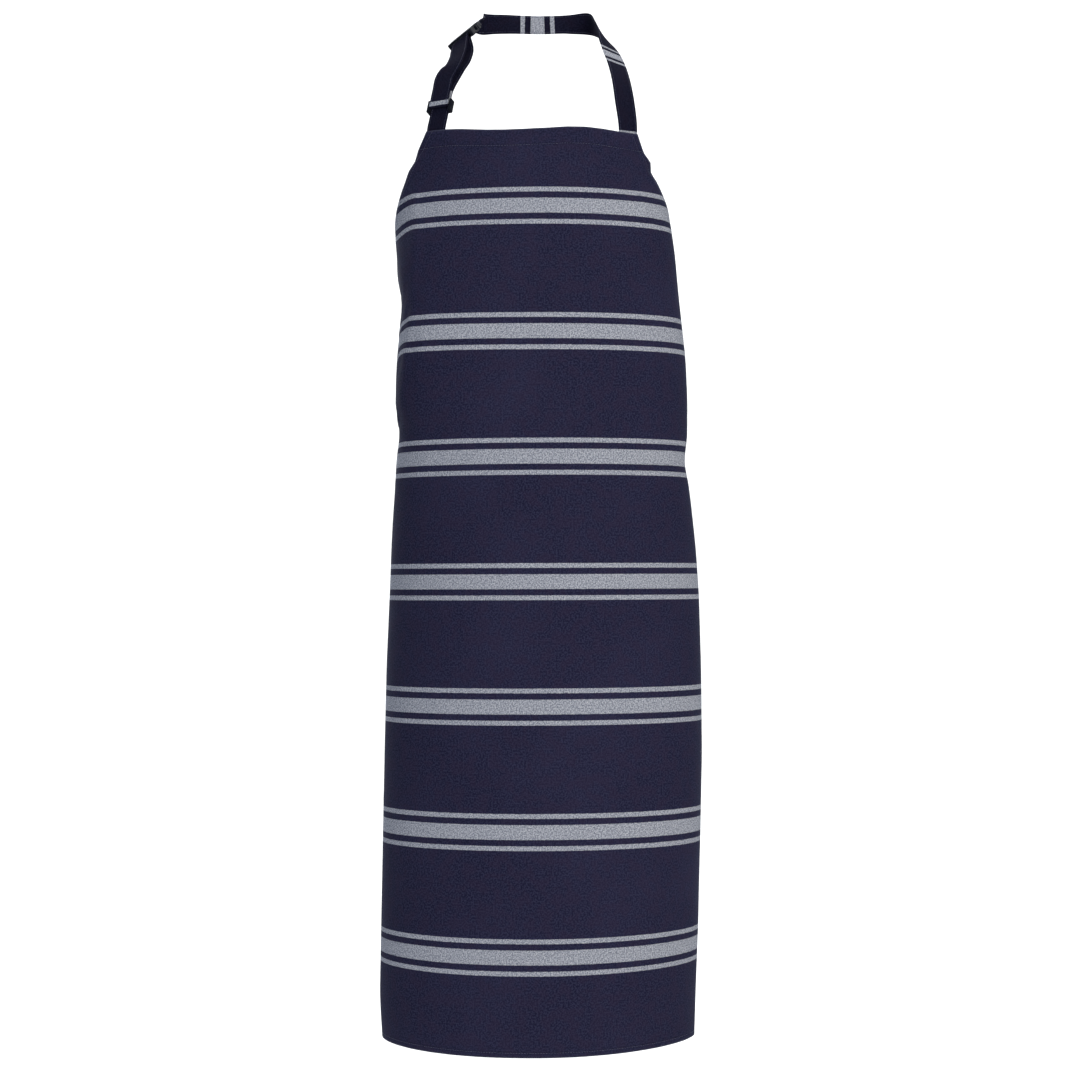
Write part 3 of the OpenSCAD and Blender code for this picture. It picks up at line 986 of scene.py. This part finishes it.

# Front layer of the adjusting strap: its end folds round the slider's middle bar and is sewn to itself.
front_strap = sewn_strap(
    "adjusting_strap_front",
    adjusting_route,
    thick=FOLD_T,
    part=slice(0, bar_at + 1),
    cloth_at=adjusting_cloth_at,
    stitched_ends=(0.004, 0.008),
    stripes=adjusting_cloth,
)
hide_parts("slider_strap_end")
on_clip(-0.024, 0.0011)
on_run(0.026, FOLD_OFF)
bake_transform(front_strap)

# Clip: a side-release buckle of black plastic, with a socket, a plug and the plug's two springy prongs.
# The socket takes the adjusting strap on its bar, and the prongs catch in its windows.


def moulded(name, node, edge_r):
    """A moulding with the shape of a frame part, its outer edges rounded."""
    source = bpy.data.objects[node]
    obj = bpy.data.objects.new(name, source.data.copy())
    obj.matrix_world = source.matrix_world
    bpy.context.collection.objects.link(obj)
    obj.data.materials.clear()
    obj.data.transform(obj.matrix_world)
    obj.matrix_world.identity()
    bpy.ops.object.select_all(action="DESELECT")
    bpy.context.view_layer.objects.active = obj
    obj.select_set(True)
    bpy.ops.object.mode_set(mode="EDIT")
    bpy.ops.mesh.select_all(action="SELECT")
    bpy.ops.mesh.remove_doubles(threshold=0.00001)
    bpy.ops.mesh.dissolve_limited(angle_limit=math.radians(3))
    bpy.ops.mesh.normals_make_consistent(inside=False)
    bpy.ops.object.mode_set(mode="OBJECT")
    rounding = obj.modifiers.new("Rounded edges", "BEVEL")
    rounding.width = edge_r
    rounding.segments = 3
    rounding.limit_method = "ANGLE"
    rounding.angle_limit = math.radians(35)
    apply_modifiers(obj)
    bpy.ops.object.select_all(action="DESELECT")
    bpy.context.view_layer.objects.active = obj
    obj.select_set(True)
    bpy.ops.object.shade_smooth_by_angle(angle=math.radians(32))
    obj.select_set(False)
    obj.data.materials.append(black_plastic)
    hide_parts(node)
    return obj


def plastic_finish(name):
    """Satin black acetal: faint flow marks, finger smears and short wear scratches."""
    f = Finish(name)
    place = f.node("ShaderNodeTexCoord", {}, {}, output=3)
    cloudy = {"Vector": place, "Scale": 110.0, "Detail": 4.0, "Distortion": 0.8}
    smear = f.node("ShaderNodeTexNoise", {}, cloudy)
    grain = f.node("ShaderNodeTexNoise", {}, {"Vector": place, "Scale": 2400.0, "Detail": 2.0})
    along = f.node("ShaderNodeVectorMath", {"operation": "MULTIPLY"}, {0: place, 1: (300.0, 2600.0, 420.0)})
    scratch = f.node("ShaderNodeTexNoise", {}, {"Vector": along, "Scale": 1.0, "Detail": 1.0})
    lines = scratch.above(0.66, 0.02)
    colour = f.mix(smear, (0.0035, 0.0042, 0.0075), (0.0070, 0.0080, 0.0135))
    colour = f.mix(lines * 0.15, colour, (0.040, 0.040, 0.045))
    height = grain * 0.4 + smear - lines * 0.8
    bump = f.node("ShaderNodeBump", {}, {"Strength": 0.35, "Distance": 0.00004, "Height": height})
    f.surface(
        {
            "Base Color": colour,
            "Roughness": 0.40 + smear * 0.14 + lines * 0.1,
            "Normal": bump,
            "Specular IOR Level": 0.06,
        }
    )
    return f.material


black_plastic = plastic_finish("black_acetal")
socket = moulded("clip_socket_moulding", "clip_socket", 0.0005)
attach(socket, "apron")
plug = moulded("clip_plug_moulding", "clip_plug", 0.0005)
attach(plug, "clip_plug_body")
for side in ("left", "right"):
    prong = moulded(side + "_prong_moulding", side + "_prong", 0.0003)
    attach(prong, side + "_prong_body")

# Slider: a three-bar moulding of the same black plastic, that sets the neck loop's length.
# The strap runs behind its middle bar, and the strap's own end is folded round that bar and sewn.
slider = moulded("slider_moulding", "strap_slider", 0.0005)
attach(slider, "slider_body")

# Waist ties: straps of the same cloth sewn to the skirt's upper corners, under the side hems.
# They meet at the wearer's back in a bow.
TIE_W = 0.025
TIE_T = 0.0014
TIE_SEWN = 0.022
TIE_OPEN = 0.0095
DOWNWARDS = (0.0, 0.0, -1.0)
SIDES = (("left", -1), ("right", 1))
knot_v = WAIST_DROP + TIE_W / 2 + 0.002
tie_lift = -(CLOTH_T + HEM_T + 0.0006 + TIE_T / 2)
knot_low, knot_high = (Vector(p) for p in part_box("waist_knot"))
knot_middle = np.array((knot_low + knot_high) / 2)
tie_cloth = striped_twill("tie_striped_twill", first=0.04, painted_shade_scale=STRAP_PAINTED_SHADE)
for name, side in SIDES:
    stations = []
    for s in np.linspace(SKIRT_W / 2 - TIE_SEWN, SKIRT_W / 2 - 0.001, 4):
        stations.append((on_cloth(side * s, knot_v, tie_lift)[0], np.array(DOWNWARDS)))
    x, y, run = section(knot_v, side, 0.0035)
    begin = SKIRT_W / 2 + 0.012
    for s in np.linspace(begin, run[-1], 26):
        px, py = float(np.interp(s, run, x)), float(np.interp(s, run, y))
        if abs(px) < TIE_OPEN:
            break
        sway = 0.0012 * math.sin((s - begin) * 55 + side)
        stations.append((np.array([px, py, bib_z - knot_v + sway]), np.array([0, 0.10 * sway, -1.0])))
    stations.append((knot_middle + np.array([side * 0.008, -0.002, 0.0]), np.array(DOWNWARDS)))
    route = smooth_route(stations, step=0.0035)
    ends = (0.003, 0.018)
    tie = sewn_strap(name + "_tie_cloth", route, tie_cloth, width=TIE_W, thick=TIE_T, stitched_ends=ends)
    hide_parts(name + "_waist_tie")
    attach(tie, "apron")

# Waist knot: the two ties' cloth, gathered to a core where they cross.
# One tie is wrapped once round the core, drawn tight and creased.
WRAPS = 48
BANDS = 21


def wrapped_band(name, middle, half_x, radius, squash, turn, creases):
    """A band of cloth wrapped round the line of the ties, creased along its length."""
    verts, faces, places = [], [], []
    for i in range(BANDS):
        u = -1 + 2 * i / (BANDS - 1)
        for k in range(WRAPS):
            q = 2 * math.pi * k / WRAPS
            fold = 0.055 * math.sin(creases * u + 1.3 * math.sin(q) + turn)
            fold += 0.03 * math.sin(7.3 * u + 2.1 * math.cos(q))
            lip = 1 - 0.30 * abs(u) ** 5 - 0.10 * u * u
            r = radius * (lip + fold)
            x = half_x * (math.sin(1.35 * u) / math.sin(1.35)) + 0.0016 * math.sin(q + turn)
            lean = 0.16 * math.sin(q)
            verts.append(middle + np.array([x + lean * r, squash * r * math.cos(q), r * math.sin(q)]))
            places.append((x, q * radius))
    for i in range(BANDS - 1):
        for k in range(WRAPS):
            n = (k + 1) % WRAPS
            faces.append((i * WRAPS + k, i * WRAPS + n, (i + 1) * WRAPS + n, (i + 1) * WRAPS + k))
    for ring, x in ((0, -half_x), (BANDS - 1, half_x)):
        tip = len(verts)
        verts.append(middle + np.array([x * 0.94, 0.0, 0.0]))
        places.append((x, 0.0))
        for k in range(WRAPS):
            faces.append((ring * WRAPS + k, ring * WRAPS + (k + 1) % WRAPS, tip))
    obj = mesh_object(name, verts, faces)
    map_cloth(obj, places)
    recalculate_outside(obj)
    obj.data.shade_smooth()
    obj.data.materials.append(tie_cloth)
    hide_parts("waist_knot")
    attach(obj, "apron")


wrapped_band("knot_core", knot_middle, half_x=0.0128, radius=0.0088, squash=0.78, turn=0.4, creases=9.0)
wrapped_band("knot_wrap", knot_middle, half_x=0.0082, radius=0.0124, squash=0.72, turn=1.9, creases=6.5)

# Bow loops and tails: the free lengths of the two ties.
# Each loop is gathered at the knot; each tail hangs down the skirt's opening and is stitched at its end.
AT_A_TIME = 4000
PLEAT = 0.0042
DRAWN_IN = 0.55


def gathered_strap(name, route, amount_at, **options):
    """A sewn strap whose width is drawn together into pleats by amount_at(share of its length)."""
    obj = sewn_strap(name, route, tie_cloth, width=TIE_W, thick=TIE_T, **options)
    p, across, out, run = strap_frames(route)
    points = np.array([v.co for v in obj.data.vertices])
    for start in range(0, len(points), AT_A_TIME):
        part = points[start:start + AT_A_TIME]
        near = np.argmin(((part[:, None, :] - p[None, :, :]) ** 2).sum(axis=2), axis=1)
        for k, i in enumerate(near):
            amount = amount_at(run[i] / run[-1])
            offset = part[k] - p[i]
            u, z, along = offset @ across[i], offset @ out[i], offset @ np.cross(out[i], across[i])
            pleat = PLEAT * amount * math.cos(5.2 * math.pi * u / TIE_W)
            part[k] = p[i] + across[i] * u * (1 - DRAWN_IN * amount) + out[i] * (z + pleat)
            part[k] += np.cross(out[i], across[i]) * along
        points[start:start + AT_A_TIME] = part
    obj.data.vertices.foreach_set("co", points.astype(np.float32).ravel())
    obj.data.update()
    return obj


for name, side in SIDES:
    stations = []
    for k in range(25):
        q = k / 24
        x = 0.0065 + 0.0695 * math.sin(math.pi * q)
        y = 0.0028 - 0.0125 * math.cos(math.pi * q) * math.sin(math.pi * q) ** 0.8 * (1 - 0.075 * side)
        y += -0.0030 * math.cos(math.pi * q) + 0.004 * math.sin(math.pi * q)
        z = 0.002 - 0.30 * (x - 0.014) - 0.003 * math.cos(math.pi * q) * math.sin(math.pi * q)
        lean = side * (0.29 + 0.10 * math.sin(2 * math.pi * q))
        way_across = np.array([lean, 0.12 * math.sin(math.pi * q), 0.96])
        stations.append((knot_middle + np.array([side * x, y, z]), way_across))
    route = smooth_route(stations, step=0.0022)
    loop = gathered_strap(
        name + "_bow_cloth", route, lambda q: float(0.85 * (1 - smooth_step(min(q, 1 - q) / 0.17)))
    )
    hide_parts(name + "_bow_loop")
    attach(loop, "apron")

TAIL_L = 0.500
for name, side in SIDES:
    stations = []
    for d in np.concatenate([[0.004, 0.012, 0.022], np.linspace(0.035, TAIL_L, 26)]):
        spread = float(smooth_step(d / 0.110))
        x = side * (0.006 + 0.026 * spread) + 0.0022 * spread * math.sin(11 * d + side)
        v = knot_v + d
        y = front_y + 2 * body_half_depth(v) + 0.006 + 0.0018 * spread * math.sin(17 * d + 2.0 * side)
        tilt = side * 0.45 * (1 - float(smooth_step(d / 0.09))) + 0.16 * spread * math.sin(7 * d + side)
        stations.append((np.array([x, y, bib_z - v]), np.array([1.0, tilt, 0.0])))
    route = smooth_route(stations, step=0.0035)
    tail_run = strap_frames(route)[3][-1]
    begin = 0.052 if side < 0 else 0.0
    tail = gathered_strap(
        name + "_tail_cloth",
        route,
        lambda q: float(0.8 * (1 - smooth_step(q / 0.12))),
        cloth_at=lambda run: run + begin,
        stitched_ends=(tail_run - 0.008,),
    )
    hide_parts(name + "_tie_tail")
    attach(tail, "apron")

# Studio: a pale sweep of paper under and behind the apron, not part of it.
# Large soft lights stand in front, on the left, above and behind.
FLOOR_Z = bib_z - PANEL_L - 0.245
sweep_side = [(-4.5, 0.0), (2.2, 0.0)]
sweep_side += [(2.2 + 1.2 * math.sin(q), 1.2 - 1.2 * math.cos(q)) for q in np.radians(np.linspace(8, 90, 12))]
sweep_side.append((3.4, 4.5))
sweep_points = np.array([[(x, y, FLOOR_Z + z) for x in np.linspace(-5.5, 5.5, 12)] for y, z in sweep_side])
sweep = grid_mesh("paper_sweep", sweep_points)
recalculate_outside(sweep)
sweep.data.shade_smooth()
paper = Finish("pale_paper")
paper_place = paper.node("ShaderNodeTexCoord", {}, {}, output=3)
paper_grain = paper.node("ShaderNodeTexNoise", {}, {"Vector": paper_place, "Scale": 3.0, "Detail": 4.0})
paper_white = paper.mix(paper_grain, (0.86, 0.86, 0.86), (0.90, 0.90, 0.90))
paper.surface({"Base Color": paper_white, "Roughness": 0.9})
sweep.data.materials.append(paper.material)

world = bpy.data.worlds.new("studio")
bpy.context.scene.world = world
world.use_nodes = True
world.node_tree.nodes["Background"].inputs["Color"].default_value = (0.80, 0.89, 1.0, 1.0)
world.node_tree.nodes["Background"].inputs["Strength"].default_value = 0.20


def soft_light(name, place, target, size, energy, colour):
    light = bpy.data.lights.new(name, "AREA")
    light.shape = "RECTANGLE"
    light.size, light.size_y = size
    light.energy = energy
    light.color = colour
    obj = bpy.data.objects.new(name, light)
    bpy.context.collection.objects.link(obj)
    obj.location = place
    obj.rotation_euler = (Vector(target) - Vector(place)).to_track_quat("-Z", "Y").to_euler()


chest = (0.0, -0.15, -0.55)
soft_light("key_light", (1.15, -3.25, 0.5), chest, (1.5, 2.2), 108, (1.0, 0.985, 0.96))
soft_light("left_fill", (-2.4, -1.9, -0.2), chest, (1.6, 2.4), 8, (0.36, 0.56, 1.0))
soft_light("top_light", (0.0, 0.2, 1.9), (0.0, -0.1, -0.5), (2.0, 1.6), 40, (1.0, 1.0, 1.0))
soft_light("back_wash", (0.0, 1.0, 1.6), (0.0, 3.4, -0.2), (3.0, 1.5), 90, (1.0, 1.0, 1.0))
soft_light("back_light", (-1.2, 1.7, 0.3), (0.0, 0.0, -0.6), (1.2, 1.8), 25, (0.95, 0.97, 1.0))

camera_data = bpy.data.cameras.new("camera")
camera_data.sensor_width = 36
camera_data.lens = 72.7333
camera_data.shift_y = 0.03889
camera_data.clip_end = 50
camera = bpy.data.objects.new("camera", camera_data)
bpy.context.collection.objects.link(camera)
camera.location = (0.0, -2.600, -0.6634)
camera.rotation_euler = (math.radians(90), 0, 0)
bpy.context.scene.camera = camera
bpy.context.scene.view_settings.view_transform = "Standard"
